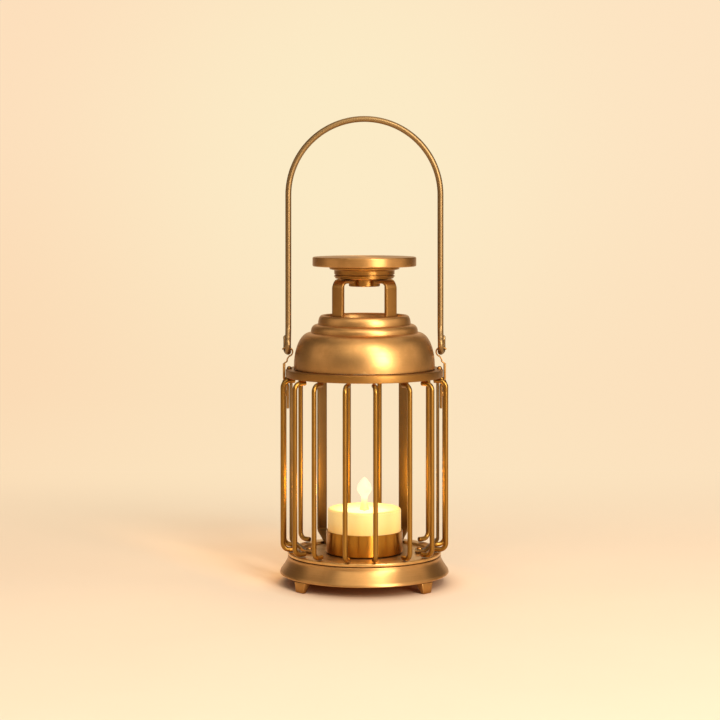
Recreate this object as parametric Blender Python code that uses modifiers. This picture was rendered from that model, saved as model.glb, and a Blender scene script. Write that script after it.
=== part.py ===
"""A barred brass candle lantern with a lift-off dome lid and a wire bail.

Metres, +Z up. The origin is on the floor under the lantern's axis, -Y is the front.
Angles of bars and straps are in degrees from the front, positive to the right.
Each outline is written as (radius, height) or (across, height) in metres.
"""

import math

import bmesh
import bpy
from mathutils import Matrix, Vector

CLEARANCE = 0.0003  # between pieces that touch
EDGE = 0.0005  # softened edge of a spun or turned piece
TURN_STEPS = 48  # facets round a large turned piece
SMALL_STEPS = 12  # facets round a rivet or a wick
CANDLE_STEPS = 36  # facets round the candle
CUTTER_TURN = math.radians(5)  # keeps a hole's facets off the edges of what it cuts

# Cage
CAGE_RADIUS = 0.0430  # centre line of the bars
CAGE_HEIGHT = 0.0905  # from the tray's rim to the ring
BAR_RADIUS = 0.00125
BAR_BEND = 0.0034
BAR_REACH = 0.0064  # from the cage's radius in to a bar's end
BAR_SIDES = 8
BAR_ANGLES = (-168.5, -127.5, -101, -79, -55.5, -36.2, -13, 7.5, 32.2, 53.2, 79, 101, 127.5, 169)
RING_SETBACK = 0.00075  # from the bars' inner side in to the ring
RING_WALL = 0.0007
RING_HEIGHT = 0.0039
FLANGE_WIDTH = 0.0075
FLANGE_THICKNESS = 0.0008

# Base and tray
TRAY_SETBACK = 0.0030  # from the cage's radius in to the tray's edge
TRAY_WALL = 0.0010
TRAY_DROP = 0.0008  # from the skirt's top up to the tray's floor
RIM_WIDTH = 0.0060
RIM_RISE = 0.0013
NECK_SETBACK = 0.0001
SKIRT_FLARE = 0.00415
SKIRT_BOTTOM = 0.0056
SKIRT_HEIGHT = 0.0092
SKIRT_SHOULDER = 0.0014
SKIRT_LIP = 0.0010
SKIRT_WALL = 0.0010
FOOT_SETBACK = 0.00025  # from the skirt's lip in to a foot's outer face
FOOT_TOP_WIDTH = 0.0082
FOOT_TIP_WIDTH = 0.0058
FOOT_TOP_DEPTH = 0.0048
FOOT_TIP_DEPTH = 0.0019
TENON_WIDTH = 0.0070  # the part of a foot inside the skirt
TENON_DEPTH = 0.0036
TENON_RISE = 0.0039  # from the skirt's lip up to a tenon's top
FOOT_EDGE = 0.00035
FOOT_ANGLES = {"front_left": -49, "front_right": 47, "rear_left": -131, "rear_right": 133}

# Flat uprights
UPRIGHT_THICKNESS = 0.0015
UPRIGHT_WIDTH = 0.0056
UPRIGHT_SETBACK = 0.00275  # from the ring's radius in to the middle of the strap
UPRIGHT_SLOPE_RISE = 0.0066  # from the tray's rim up to where the strap turns in
UPRIGHT_BEND = 0.0013
UPRIGHT_HEEL = 0.0034  # from the tray's rim in to the flat of the strap's foot
UPRIGHT_TOE = 0.0076  # from the tray's rim in to the strap's end
UPRIGHT_ANGLES = {"left": -90, "right": 90, "rear_left": -143.5, "rear_right": 146.5}
RIVET_SHANK = 0.0008
RIVET_HEAD = 0.0016
RIVET_RISE = 0.0011
RIVET_HOLE = 0.0012
FOOT_RIVET_INSET = 0.0052  # from the tray's rim
FLANGE_RIVET_INSET = 0.0018  # from the ring's radius
FLANGE_RIVET_HEAD = 0.0013
FLANGE_RIVET_RISE = 0.0015
FLANGE_RIVET_SHANK = 0.0006
FLANGE_RIVET_HOLE = 0.0009

# Bail and the ears that carry it
BAIL_WIRE = 0.00155
BAIL_SETBACK = 0.0013  # from the ring's radius in to the bail's legs
BAIL_HEIGHT = 0.1321  # above the ring
BAIL_SIDES = 10
EYE_RADIUS = 0.0039
EYE_DRIFT = 0.0012  # how far the wire moves outwards round the eye
EYE_RISE = 0.0089  # from the ring's top to the wire's centre at the foot of the eye
EYE_START = -133
EYE_FLAT = -20  # up to here the wire keeps under the leg
EYE_TAIL = 50  # and from here on beside it
EYE_END = 156
NECK_RISE = 0.0062
EAR_THICKNESS = 0.0012
EAR_WIDTH = 0.0050
EAR_TONGUE = 0.0020
EAR_TONGUE_THICKNESS = 0.0007
EAR_DROP = 0.0165  # from the ring down to the ear's end
EAR_JOGGLE_DROP = 0.0048
EAR_RIVET_DROP = 0.0088
EAR_SHOULDER = 0.0029  # above the ring's top
EAR_ELBOW_RISE = 0.0011  # from the shoulder up to the tongue's elbow
EAR_ELBOW_SETOUT = 0.0006  # from the bail's leg out to the elbow
EAR_NECK_RISE = 0.0011  # from the elbow up to where the tongue turns into its hook
EAR_HOOK_GAP = 0.00035
EAR_HOOK_START = 258  # under the wire, and from there round its inner side
EAR_HOOK_END = -35

# Lid
DOME_SETBACK = 0.0042  # from the ring's radius in to the dome's rim
DOME_WALL = 0.0010
DOME_LIP = 0.0012
BOWL_HEIGHT = 0.0188
BOWL_NARROWING = 0.0087
STEP_SETBACK = 0.0002
STEP_ROLL = 0.0032
STEP_FOOT = 0.0008
STEP_HEIGHT = 0.0043
COLLAR_SETBACK = 0.0037
COLLAR_ROLL = 0.0020
COLLAR_HEIGHT = 0.0047
COLLAR_WALL = 0.0036
STRAP_WIDTH = 0.0075
STRAP_THICKNESS = 0.0015
STRAP_GAP = 0.00055  # from the collar in to a crown strap
STRAP_DROP = 0.0022  # from the step's top down to a crown strap's end
STRAP_BEND = 0.0034
STRAP_ANGLES = (-45, 45, 135, -135)
BOSS_RADIUS = 0.0069
BOSS_DROP = 0.0038
CROWN_HEIGHT = 0.0188  # from the collar's top to the stem
STEM_RADIUS = 0.0158
STEM_FOOT_SETBACK = 0.0024
STEM_STEP_RADIUS = 0.0187
STEM_STEP_HEIGHT = 0.0008
STEM_HEIGHT = 0.0067
RIB_HEIGHTS = (0.0034, 0.0020)  # tops of the ribs above the stem's foot
RIB_HEIGHT = 0.0007
RIB_DEPTH = 0.0005
DISC_RADIUS = 0.0271
DISC_THICKNESS = 0.0049
DISC_EDGE = 0.0007

# Candle
CUP_RADIUS = 0.0199
CUP_HEIGHT = 0.0115
CUP_WALL = 0.0005
CANDLE_EDGE = 0.0008
WAX_HEIGHT = 0.0229  # above the tray
POOL_DEPTH = 0.0014
POOL_SETBACK = 0.0060
POOL_BROW = 0.0024
WICK_RADIUS = 0.0006
WICK_RISE = 0.0052
WICK_DEPTH = 0.0030

# Radii that follow
tray_radius = CAGE_RADIUS - TRAY_SETBACK
rim_radius = tray_radius - RIM_WIDTH
neck_radius = tray_radius - NECK_SETBACK
skirt_radius = neck_radius + SKIRT_FLARE
ring_radius = CAGE_RADIUS - BAR_RADIUS - RING_SETBACK
upright_radius = ring_radius - UPRIGHT_SETBACK
foot_rivet_radius = rim_radius - FOOT_RIVET_INSET
flange_rivet_radius = ring_radius - FLANGE_RIVET_INSET
bail_span = ring_radius - BAIL_SETBACK
dome_radius = ring_radius - DOME_SETBACK
bowl_radius = dome_radius - BOWL_NARROWING
step_radius = bowl_radius - STEP_SETBACK
collar_radius = step_radius - COLLAR_SETBACK
collar_opening = collar_radius - COLLAR_WALL
crown_radius = collar_opening - STRAP_GAP - STRAP_THICKNESS / 2

# Heights that follow
skirt_top = SKIRT_BOTTOM + SKIRT_HEIGHT
tenon_top = SKIRT_BOTTOM + TENON_RISE
floor_top = skirt_top + TRAY_DROP
tray_top = floor_top + RIM_RISE
candle_rest = floor_top + CLEARANCE
wax_top = candle_rest + WAX_HEIGHT
foot_underside = floor_top + CLEARANCE
foot_middle = foot_underside + UPRIGHT_THICKNESS / 2
ring_bottom = tray_top + CAGE_HEIGHT
ring_top = ring_bottom + RING_HEIGHT
upright_top = ring_top - FLANGE_THICKNESS - CLEARANCE
eye_bottom = ring_top + EYE_RISE
eye_centre = eye_bottom + EYE_RADIUS
ear_rivet_height = ring_bottom - EAR_RIVET_DROP
lid_rest = ring_top + CLEARANCE
bowl_top = lid_rest + BOWL_HEIGHT
step_top = bowl_top + STEP_HEIGHT
collar_top = step_top + COLLAR_HEIGHT
stem_bottom = collar_top + CROWN_HEIGHT
disc_bottom = stem_bottom + STEM_HEIGHT


def clear_scene():
    """Removes what the startup scene holds."""
    for obj in list(bpy.data.objects):
        bpy.data.objects.remove(obj)


def collection(name):
    """A new collection in the scene."""
    made = bpy.data.collections.new(name)
    bpy.context.scene.collection.children.link(made)
    return made


def finish(name, colour, roughness, metallic):
    """A Principled material."""
    material = bpy.data.materials.new(name)
    material.use_nodes = True
    shader = material.node_tree.nodes["Principled BSDF"]
    shader.inputs["Base Color"].default_value = (*colour, 1)
    shader.inputs["Roughness"].default_value = roughness
    shader.inputs["Metallic"].default_value = metallic
    material.diffuse_color = (*colour, 1)
    return material


def add(obj, material, parent=None, group=None):
    """Puts an object in its collection, with its material and its parent."""
    (group or lantern).objects.link(obj)
    if material:
        obj.data.materials.append(material)
    if parent:
        obj.parent = parent
        obj.matrix_parent_inverse = Matrix.Translation(-parent.location)
    return obj


def smooth(mesh, angle=35):
    """Smooth shading with sharp edges where faces meet steeply."""
    mesh.shade_smooth()
    mesh.set_sharp_from_angle(angle=math.radians(angle))


def arc(centre, radius, start, end, steps, height=None):
    """Points along an arc, or along an ellipse's where a height is given, in degrees."""
    height = height or radius
    points = []
    for i in range(steps + 1):
        angle = math.radians(start + (end - start) * i / steps)
        points.append((centre[0] + radius * math.cos(angle), centre[1] + height * math.sin(angle)))
    return points


def turned(name, profile, material, parent=None, steps=TURN_STEPS, group=None):
    """A closed (radius, height) profile turned about the vertical axis.

    The profile runs down the outer side and back up the inner side. An outline that
    starts and ends on the axis makes a solid, any other a ring.
    """
    mesh = bpy.data.meshes.new(name)
    shape = bmesh.new()
    corners = [shape.verts.new((radius, 0, height)) for radius, height in profile]
    for first, second in zip(corners, corners[1:]):
        shape.edges.new((first, second))
    if profile[0][0] > 0 or profile[-1][0] > 0:
        shape.edges.new((corners[-1], corners[0]))
    shape.to_mesh(mesh)
    shape.free()
    obj = bpy.data.objects.new(name, mesh)
    add(obj, material, parent, group)
    screw = obj.modifiers.new("turn", "SCREW")
    screw.steps = steps
    screw.render_steps = steps
    screw.use_merge_vertices = True
    screw.merge_threshold = 1e-5
    screw.use_smooth_shade = True
    return obj


def curve_object(name, points, material, parent, dimensions="3D", closed=False):
    """A poly curve through the points, without its section."""
    data = bpy.data.curves.new(name, "CURVE")
    data.dimensions = dimensions
    spline = data.splines.new("POLY")
    spline.points.add(len(points) - 1)
    for slot, point in zip(spline.points, points):
        slot.co = (*point, 0, 1)[:4] if len(point) == 2 else (*point, 1)
    spline.use_cyclic_u = closed
    obj = bpy.data.objects.new(name, data)
    return add(obj, material, parent)


def wire(name, points, radius, sides, material, parent=None):
    """Round wire along the points, with filled ends."""
    obj = curve_object(name, points, material, parent)
    obj.data.bevel_depth = radius
    obj.data.bevel_resolution = (sides - 4) // 2
    obj.data.use_fill_caps = True
    return obj


def offset_path(path, distance):
    """The path moved sideways, to the left of its direction, with mitred corners."""
    moved = []
    points = [Vector(point) for point in path]
    for i, point in enumerate(points):
        before = (point - points[i - 1]).normalized() if i else None
        after = (points[i + 1] - point).normalized() if i < len(points) - 1 else None
        before = before or after
        after = after or before
        middle = (before + after).normalized()
        side = Vector((-middle.y, middle.x))
        moved.append(tuple(point + side * distance / middle.dot(after)))
    return moved


def bent_strap(name, path, thickness, width, azimuth, material, parent=None):
    """A flat strap bent along a (radius, height) path, standing at an angle from the front."""
    outline = offset_path(path, thickness / 2) + offset_path(path, -thickness / 2)[::-1]
    obj = curve_object(name, outline, material, parent, "2D", True)
    obj.data.fill_mode = "BOTH"
    obj.data.extrude = width / 2
    obj.rotation_euler = (math.radians(90), 0, math.radians(azimuth - 90))
    return obj


def place(obj, azimuth, radius, height):
    """Puts an object at a radius and an angle from the front."""
    angle = math.radians(azimuth)
    obj.location = (radius * math.sin(angle), -radius * math.cos(angle), height)


def as_mesh(obj):
    """The same object as a welded mesh, for pieces that are cut or joined."""
    bpy.context.view_layer.update()
    graph = bpy.context.evaluated_depsgraph_get()
    mesh = bpy.data.meshes.new_from_object(obj.evaluated_get(graph))
    shape = bmesh.new()
    shape.from_mesh(mesh)
    bmesh.ops.remove_doubles(shape, verts=shape.verts, dist=1e-6)
    bmesh.ops.recalc_face_normals(shape, faces=shape.faces)
    shape.to_mesh(mesh)
    shape.free()
    name = obj.name
    material = obj.data.materials[0] if obj.data.materials else None
    made = bpy.data.objects.new(name + "_mesh", mesh)
    matrix = obj.matrix_world.copy()
    group = obj.users_collection[0]
    bpy.data.objects.remove(obj)
    made.name = name
    mesh.materials.clear()
    group.objects.link(made)
    if material:
        mesh.materials.append(material)
    made.matrix_world = matrix
    return made


def combine(obj, other, operation):
    """Cuts or joins one mesh object with another, which becomes a helper."""
    modifier = obj.modifiers.new(operation.lower(), "BOOLEAN")
    modifier.operation = operation
    modifier.object = other
    other.hide_render = True
    other.display_type = "WIRE"


def drill(name, radius, low, high, azimuth, at_radius):
    """A vertical cutter for a rivet hole."""
    profile = [(0, high), (radius, high), (radius, low), (0, low)]
    cutter = turned(name, profile, None, steps=SMALL_STEPS, group=cutters)
    place(cutter, azimuth, at_radius, 0)
    cutter.rotation_euler.z = CUTTER_TURN
    return cutter


def rivet_profile(head, shank, rise, length):
    """A round-head rivet, with the underside of its head at height 0."""
    dome = arc((0, 0), 1, 90, 0, 4)
    profile = [(head * x, rise * z) for x, z in dome[:-1]] + [(head, rise * 0.15)]
    return profile + [(head, 0), (shank, 0), (shank, -length), (0, -length)]


def skirt_outline(height):
    """The skirt's outer radius at a height between its shoulder and its lip."""
    top = skirt_top - SKIRT_SHOULDER
    bottom = SKIRT_BOTTOM + SKIRT_LIP
    share = min(max((top - height) / (top - bottom), 0), 1)
    return neck_radius + (skirt_radius - neck_radius) * share**1.25


def make_skirt():
    """The spun base skirt: a neck that flares to the lip, open below."""
    drop = SKIRT_HEIGHT - SKIRT_SHOULDER - SKIRT_LIP
    heights = [skirt_top - SKIRT_SHOULDER - drop * i / 6 for i in range(7)]
    flare = [(skirt_outline(height), height) for height in heights]
    neck = [(neck_radius - EDGE, skirt_top), (neck_radius, skirt_top - EDGE)]
    lip = [(skirt_radius, SKIRT_BOTTOM + EDGE), (skirt_radius - EDGE, SKIRT_BOTTOM)]
    hem = [(skirt_radius - SKIRT_WALL - EDGE / 2, SKIRT_BOTTOM + EDGE / 2)]
    inner = [(radius - SKIRT_WALL, high - SKIRT_WALL / 5) for radius, high in flare[:0:-2]]
    ceiling = [(neck_radius - SKIRT_WALL, skirt_top - SKIRT_WALL)]
    opening = rim_radius - SKIRT_WALL
    shelf = [(opening, skirt_top - SKIRT_WALL), (opening, skirt_top)]
    turned("base_skirt", neck + flare + lip + hem + inner + ceiling + shelf, brass)


def make_foot(name, azimuth):
    """A cast foot that tapers to its tip under the skirt's lip, with a tenon behind the lip."""
    shoe_top = SKIRT_BOTTOM - CLEARANCE
    face = skirt_radius - FOOT_SETBACK
    hem = skirt_radius - SKIRT_WALL - EDGE / 2
    bulge = TENON_WIDTH**2 / (8 * hem)  # of the skirt's wall across the tenon
    low_face = hem - bulge - CLEARANCE
    high_face = skirt_outline(tenon_top) - SKIRT_WALL - bulge - CLEARANCE
    levels = (
        (0, face, FOOT_TIP_DEPTH, FOOT_TIP_WIDTH),
        (shoe_top, face, FOOT_TOP_DEPTH, FOOT_TOP_WIDTH),
        (shoe_top, low_face, TENON_DEPTH, TENON_WIDTH),
        (tenon_top, high_face, TENON_DEPTH, TENON_WIDTH),
    )
    shape = bmesh.new()
    rings = []
    for height, outer, depth, width in levels:
        inner = outer - depth
        half = width / 2
        square = ((outer, -half), (outer, half), (inner, half), (inner, -half))
        rings.append([shape.verts.new((across, side, height)) for across, side in square])
    for low, high in zip(rings, rings[1:]):
        for i in range(4):
            shape.faces.new((low[i], low[i - 3], high[i - 3], high[i]))
    shape.faces.new(rings[0][::-1])
    shape.faces.new(rings[-1])
    mesh = bpy.data.meshes.new(name)
    shape.to_mesh(mesh)
    shape.free()
    obj = add(bpy.data.objects.new(name, mesh), brass)
    obj.rotation_euler.z = math.radians(azimuth - 90)
    bevel = obj.modifiers.new("edges", "BEVEL")
    bevel.width = FOOT_EDGE
    bevel.segments = 1
    smooth(mesh)


def make_tray():
    """The spun floor with its raised flat rim, and a hole for each rivet."""
    under = skirt_top + CLEARANCE
    outline = [
        (0, floor_top),
        (rim_radius - EDGE, floor_top),
        (rim_radius, tray_top - EDGE / 2),
        (rim_radius + EDGE, tray_top),
        (tray_radius - EDGE, tray_top),
        (tray_radius, tray_top - EDGE),
        (tray_radius, under + EDGE),
        (tray_radius - EDGE, under),
        (rim_radius - TRAY_WALL - EDGE, under),
        (rim_radius - 2 * TRAY_WALL, floor_top - TRAY_WALL),
        (0, floor_top - TRAY_WALL),
    ]
    tray = turned("tray", outline, brass)
    for side, azimuth in UPRIGHT_ANGLES.items():
        combine(tray, foot_rivet_hole(f"tray_hole_{side}", azimuth), "DIFFERENCE")


def make_bars():
    """Round bars, bent inwards over the tray's rim and under the ring."""
    low = tray_top + CLEARANCE + BAR_RADIUS
    high = ring_bottom - CLEARANCE - BAR_RADIUS
    inner = CAGE_RADIUS - BAR_BEND
    lower = arc((inner, low + BAR_BEND), BAR_BEND, -90, 0, 4)
    upper = arc((inner, high - BAR_BEND), BAR_BEND, 0, 90, 4)
    end = CAGE_RADIUS - BAR_REACH
    side = [(end, low)] + lower + upper + [(end, high)]
    points = [(radius, 0, height) for radius, height in side]
    for number, azimuth in enumerate(BAR_ANGLES, 1):
        bar = wire(f"bar_{number:02d}", points, BAR_RADIUS, BAR_SIDES, brass)
        bar.rotation_euler.z = math.radians(azimuth - 90)


def make_uprights():
    """Flat straps from the ring to the floor, each riveted down through its foot."""
    slope_top = tray_top + UPRIGHT_SLOPE_RISE
    heel = rim_radius - UPRIGHT_HEEL
    bend = UPRIGHT_BEND
    path = [
        (upright_radius, upright_top),
        (upright_radius, slope_top),
        (upright_radius - 0.3 * bend, slope_top - bend),
        (upright_radius - 1.1 * bend, slope_top - 1.85 * bend),
        (heel + 1.4 * bend, foot_middle + 0.85 * bend),
        (heel + 0.6 * bend, foot_middle + 0.15 * bend),
        (heel, foot_middle),
        (rim_radius - UPRIGHT_TOE, foot_middle),
    ]
    shank = UPRIGHT_THICKNESS + TRAY_WALL + 3 * CLEARANCE
    profile = rivet_profile(RIVET_HEAD, RIVET_SHANK, RIVET_RISE, shank)
    head_seat = foot_underside + UPRIGHT_THICKNESS + CLEARANCE
    for number, (side, azimuth) in enumerate(UPRIGHT_ANGLES.items(), 1):
        strap = bent_strap(
            f"upright_{side}", path, UPRIGHT_THICKNESS, UPRIGHT_WIDTH, azimuth, dark_brass
        )
        strap = as_mesh(strap)
        combine(strap, foot_rivet_hole(f"upright_hole_{side}", azimuth), "DIFFERENCE")
        if abs(azimuth) == 90:
            combine(strap, ear_rivet_hole(f"upright_ear_hole_{side}", azimuth), "DIFFERENCE")
        rivet = turned(f"foot_rivet_{number}", profile, brass, steps=SMALL_STEPS)
        place(rivet, azimuth, foot_rivet_radius, head_seat)


def foot_rivet_hole(name, azimuth):
    """An upright cutter through a strap's foot and the tray's floor."""
    low = floor_top - 3 * TRAY_WALL
    high = foot_middle + 3 * UPRIGHT_THICKNESS
    return drill(name, RIVET_HOLE, low, high, azimuth, foot_rivet_radius)


def ear_rivet_hole(name, azimuth):
    """A level cutter through an ear's tab and the strap behind it."""
    reach = 2 * (UPRIGHT_THICKNESS + EAR_THICKNESS)
    profile = [(0, reach), (RIVET_HOLE, reach), (RIVET_HOLE, -reach), (0, -reach)]
    cutter = turned(name, profile, None, steps=SMALL_STEPS, group=cutters)
    place(cutter, azimuth, upright_radius, ear_rivet_height)
    cutter.rotation_euler.y = math.radians(90)
    return cutter


def make_ring():
    """The hoop under the lid, with its flat flange turned inwards."""
    inner = ring_radius - RING_WALL
    opening = ring_radius - FLANGE_WIDTH
    profile = [
        (opening, ring_top),
        (ring_radius - EDGE, ring_top),
        (ring_radius, ring_top - EDGE),
        (ring_radius, ring_bottom),
        (inner, ring_bottom),
        (inner, ring_top - FLANGE_THICKNESS),
        (opening, ring_top - FLANGE_THICKNESS),
    ]
    ring = turned("top_ring", profile, brass)
    shank = FLANGE_THICKNESS + CLEARANCE
    rivet = rivet_profile(FLANGE_RIVET_HEAD, FLANGE_RIVET_SHANK, FLANGE_RIVET_RISE, shank)
    low = ring_top - 3 * FLANGE_THICKNESS
    high = ring_top + 3 * FLANGE_THICKNESS
    for side, azimuth in (("left", -90), ("right", 90)):
        hole = drill(
            f"flange_hole_{side}", FLANGE_RIVET_HOLE, low, high, azimuth, flange_rivet_radius
        )
        combine(ring, hole, "DIFFERENCE")
        head = turned(f"flange_rivet_{side}", rivet, brass, steps=SMALL_STEPS)
        place(head, azimuth, flange_rivet_radius, ring_top + CLEARANCE)


def make_ears():
    """Straps riveted inside the ring's line, joggled outwards and hooked at the top."""
    outer = ring_radius + CLEARANCE + EAR_THICKNESS / 2
    inner = upright_radius + UPRIGHT_THICKNESS / 2 + CLEARANCE + EAR_THICKNESS / 2
    hook_radius = BAIL_WIRE + EAR_HOOK_GAP + EAR_TONGUE_THICKNESS / 2
    shoulder = (outer, ring_top + EAR_SHOULDER)
    elbow = (bail_span + EAR_ELBOW_SETOUT, shoulder[1] + EAR_ELBOW_RISE)
    neck_end = (elbow[0], elbow[1] + EAR_NECK_RISE)
    hook = arc((bail_span, eye_bottom), hook_radius, EAR_HOOK_START, 90, 10)
    hook += arc((bail_span + EYE_DRIFT, eye_bottom), hook_radius, 90, EAR_HOOK_END, 8)
    plate = [
        (inner, ring_bottom - EAR_DROP),
        (inner, ring_bottom - EAR_JOGGLE_DROP),
        (outer, ring_bottom - 2 * EDGE),
        shoulder,
    ]
    tongue = [(outer, ring_top), shoulder, elbow, neck_end] + hook
    shank = EAR_THICKNESS + UPRIGHT_THICKNESS + 3 * CLEARANCE
    profile = rivet_profile(RIVET_HEAD, RIVET_SHANK, RIVET_RISE, shank)
    for side, azimuth in (("left", -90), ("right", 90)):
        ear = as_mesh(bent_strap(f"ear_{side}", plate, EAR_THICKNESS, EAR_WIDTH, azimuth, brass))
        neck = bent_strap(
            f"ear_tongue_{side}", tongue, EAR_TONGUE_THICKNESS, EAR_TONGUE, azimuth, None
        )
        neck = as_mesh(neck)
        lantern.objects.unlink(neck)
        cutters.objects.link(neck)
        combine(ear, neck, "UNION")
        combine(ear, ear_rivet_hole(f"ear_hole_{side}", azimuth), "DIFFERENCE")
        rivet = turned(f"ear_rivet_{side}", profile, brass, steps=SMALL_STEPS)
        place(rivet, azimuth, inner + EAR_THICKNESS / 2 + CLEARANCE, ear_rivet_height)
        rivet.rotation_euler.y = math.radians(azimuth)


def make_bail(parent):
    """The arched wire, with an eye wound outwards at the foot of each leg."""
    arch_height = ring_top + BAIL_HEIGHT - BAIL_WIRE - bail_span
    neck_top = eye_centre + EYE_RADIUS + NECK_RISE
    start = math.radians(EYE_START)
    joint = (EYE_RADIUS * math.sin(start), eye_centre - EYE_RADIUS * math.cos(start))
    leg = []
    for share, sway in ((0.0, 0.0), (0.35, 0.08), (0.6, 0.28), (0.8, 0.58)):
        height = neck_top + (joint[1] - neck_top) * share
        leg.append((bail_span, joint[0] * sway, height))
    eye = []
    turns = 17
    for i in range(turns + 1):
        turn = EYE_START + (EYE_END - EYE_START) * i / turns
        share = (turn - EYE_FLAT) / (EYE_TAIL - EYE_FLAT)
        out = bail_span + EYE_DRIFT * min(max(share, 0), 1)
        angle = math.radians(turn)
        eye.append((out, EYE_RADIUS * math.sin(angle), eye_centre - EYE_RADIUS * math.cos(angle)))
    right = leg + eye
    left = [(-x, y, z) for x, y, z in right]
    arch = [(x, 0, z) for x, z in arc((0, arch_height), bail_span, 180, 0, 24)]
    points = left[::-1] + arch + right
    bail = wire("bail", points, BAIL_WIRE, BAIL_SIDES, brass, parent)
    return bail


def make_dome(parent):
    """The spun shell: a bowl under two rolled steps and an open collar."""
    lip_top = lid_rest + DOME_LIP
    height = bowl_top - lip_top
    width = dome_radius - bowl_radius
    bowl = []
    for i in range(8):
        angle = math.radians(90 * (1 - i / 7))
        across = bowl_radius + width * math.cos(angle) ** 0.95
        bowl.append((across, bowl_top - height * (1 - math.sin(angle)) ** 1.02))
    step_low = bowl_top + STEP_FOOT
    step = arc((step_radius - STEP_ROLL, step_low), STEP_ROLL, 90, 0, 4, step_top - step_low)
    collar_middle = collar_radius - COLLAR_ROLL
    collar = arc((collar_middle, step_top), COLLAR_ROLL, 130, 0, 5, COLLAR_HEIGHT)
    ceiling = step_top - 1.2 * DOME_WALL
    inner = [
        (step_radius - STEP_ROLL / 2, bowl_top + DOME_WALL),
        (step_radius - 1.2 * STEP_ROLL, ceiling),
        (collar_opening + 1.2 * DOME_WALL, ceiling),
        (collar_opening, step_top),
    ]
    hollow = offset_path(bowl[::2] + [bowl[-1], (dome_radius, lid_rest)], -DOME_WALL)[::-1]
    outline = collar + step + bowl[1:] + [(dome_radius, lid_rest)] + hollow + inner
    turned("dome", outline, brass, parent)


def make_crown(parent):
    """Four bent straps that rise through the collar and turn in under the stem."""
    top = stem_bottom - CLEARANCE - STRAP_THICKNESS / 2
    bend = arc((crown_radius - STRAP_BEND, top - STRAP_BEND), STRAP_BEND, 0, 90, 5)
    path = [(crown_radius, step_top - STRAP_DROP)] + bend + [(BOSS_RADIUS + CLEARANCE, top)]
    for number, azimuth in enumerate(STRAP_ANGLES, 1):
        bent_strap(
            f"crown_strap_{number}", path, STRAP_THICKNESS, STRAP_WIDTH, azimuth, dark_brass, parent
        )


def make_cap(parent):
    """The turned neck with its ribs, its lower boss, and the disc on top."""
    seat = disc_bottom - CLEARANCE
    ribs = []
    for rise in RIB_HEIGHTS:
        height = stem_bottom + rise
        groove = height - RIB_HEIGHT
        ribs += [
            (STEM_RADIUS, height),
            (STEM_RADIUS, groove),
            (STEM_RADIUS - RIB_DEPTH, groove - RIB_DEPTH * 0.4),
            (STEM_RADIUS - RIB_DEPTH, groove - RIB_DEPTH),
        ]
    step_low = seat - STEM_STEP_HEIGHT
    stem = [
        (0, seat),
        (STEM_STEP_RADIUS, seat),
        (STEM_STEP_RADIUS, step_low),
        (STEM_STEP_RADIUS - EDGE, step_low - EDGE),
        (STEM_RADIUS + EDGE / 2, stem_bottom + RIB_HEIGHTS[0] + EDGE),
    ]
    boss_bottom = stem_bottom - BOSS_DROP
    foot = [
        (STEM_RADIUS - RIB_DEPTH, stem_bottom + EDGE),
        (STEM_RADIUS - STEM_FOOT_SETBACK, stem_bottom),
        (BOSS_RADIUS, stem_bottom),
        (BOSS_RADIUS, boss_bottom + EDGE),
        (BOSS_RADIUS - EDGE, boss_bottom),
        (0, boss_bottom),
    ]
    turned("cap_stem", stem + ribs + foot, brass, parent, CANDLE_STEPS)
    top = disc_bottom + DISC_THICKNESS
    disc = [
        (0, top),
        (DISC_RADIUS - DISC_EDGE, top),
        (DISC_RADIUS - DISC_EDGE * 0.3, top - DISC_EDGE * 0.3),
        (DISC_RADIUS, top - DISC_EDGE),
        (DISC_RADIUS, disc_bottom + DISC_EDGE),
        (DISC_RADIUS - DISC_EDGE * 0.3, disc_bottom + DISC_EDGE * 0.3),
        (DISC_RADIUS - DISC_EDGE, disc_bottom),
        (0, disc_bottom),
    ]
    turned("cap_disc", disc, brass, parent)


def make_candle(parent):
    """The low cup, the wax standing in it, and the wick."""
    cup_floor = candle_rest + CUP_WALL
    cup_top = candle_rest + CUP_HEIGHT
    cup_inner = CUP_RADIUS - CUP_WALL
    cup = [
        (0, cup_floor),
        (cup_inner - CANDLE_EDGE, cup_floor),
        (cup_inner, cup_floor + CANDLE_EDGE),
        (cup_inner, cup_top),
        (CUP_RADIUS, cup_top),
        (CUP_RADIUS, candle_rest + CANDLE_EDGE),
        (CUP_RADIUS - CANDLE_EDGE, candle_rest),
        (0, candle_rest),
    ]
    turned("candle_cup", cup, brass, parent, CANDLE_STEPS)
    wax_radius = cup_inner - CLEARANCE
    wax_bottom = cup_floor + CLEARANCE
    pool = wax_top - POOL_DEPTH
    wick_hole = WICK_RADIUS + CLEARANCE
    wax = [
        (0, pool - WICK_DEPTH),
        (wick_hole, pool - WICK_DEPTH),
        (wick_hole, pool),
        (wax_radius - POOL_SETBACK, pool),
        (wax_radius - POOL_BROW, wax_top),
        (wax_radius - CANDLE_EDGE, wax_top),
        (wax_radius, wax_top - CANDLE_EDGE),
        (wax_radius, wax_bottom + 1.5 * CANDLE_EDGE),
        (wax_radius - 1.5 * CANDLE_EDGE, wax_bottom),
        (0, wax_bottom),
    ]
    turned("candle_wax", wax, wax_white, parent, CANDLE_STEPS)
    wick_foot = pool - WICK_DEPTH + CLEARANCE
    wick_end = pool + WICK_RISE
    wick = [(0, wick_end), (WICK_RADIUS, wick_end), (WICK_RADIUS, wick_foot), (0, wick_foot)]
    turned("candle_wick", wick, char, parent, steps=8)


def pivot(name, height):
    """An empty on a joint's axis, which carries the pieces of a moving body."""
    empty = bpy.data.objects.new(name, None)
    empty.location.z = height
    lantern.objects.link(empty)
    return empty


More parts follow.
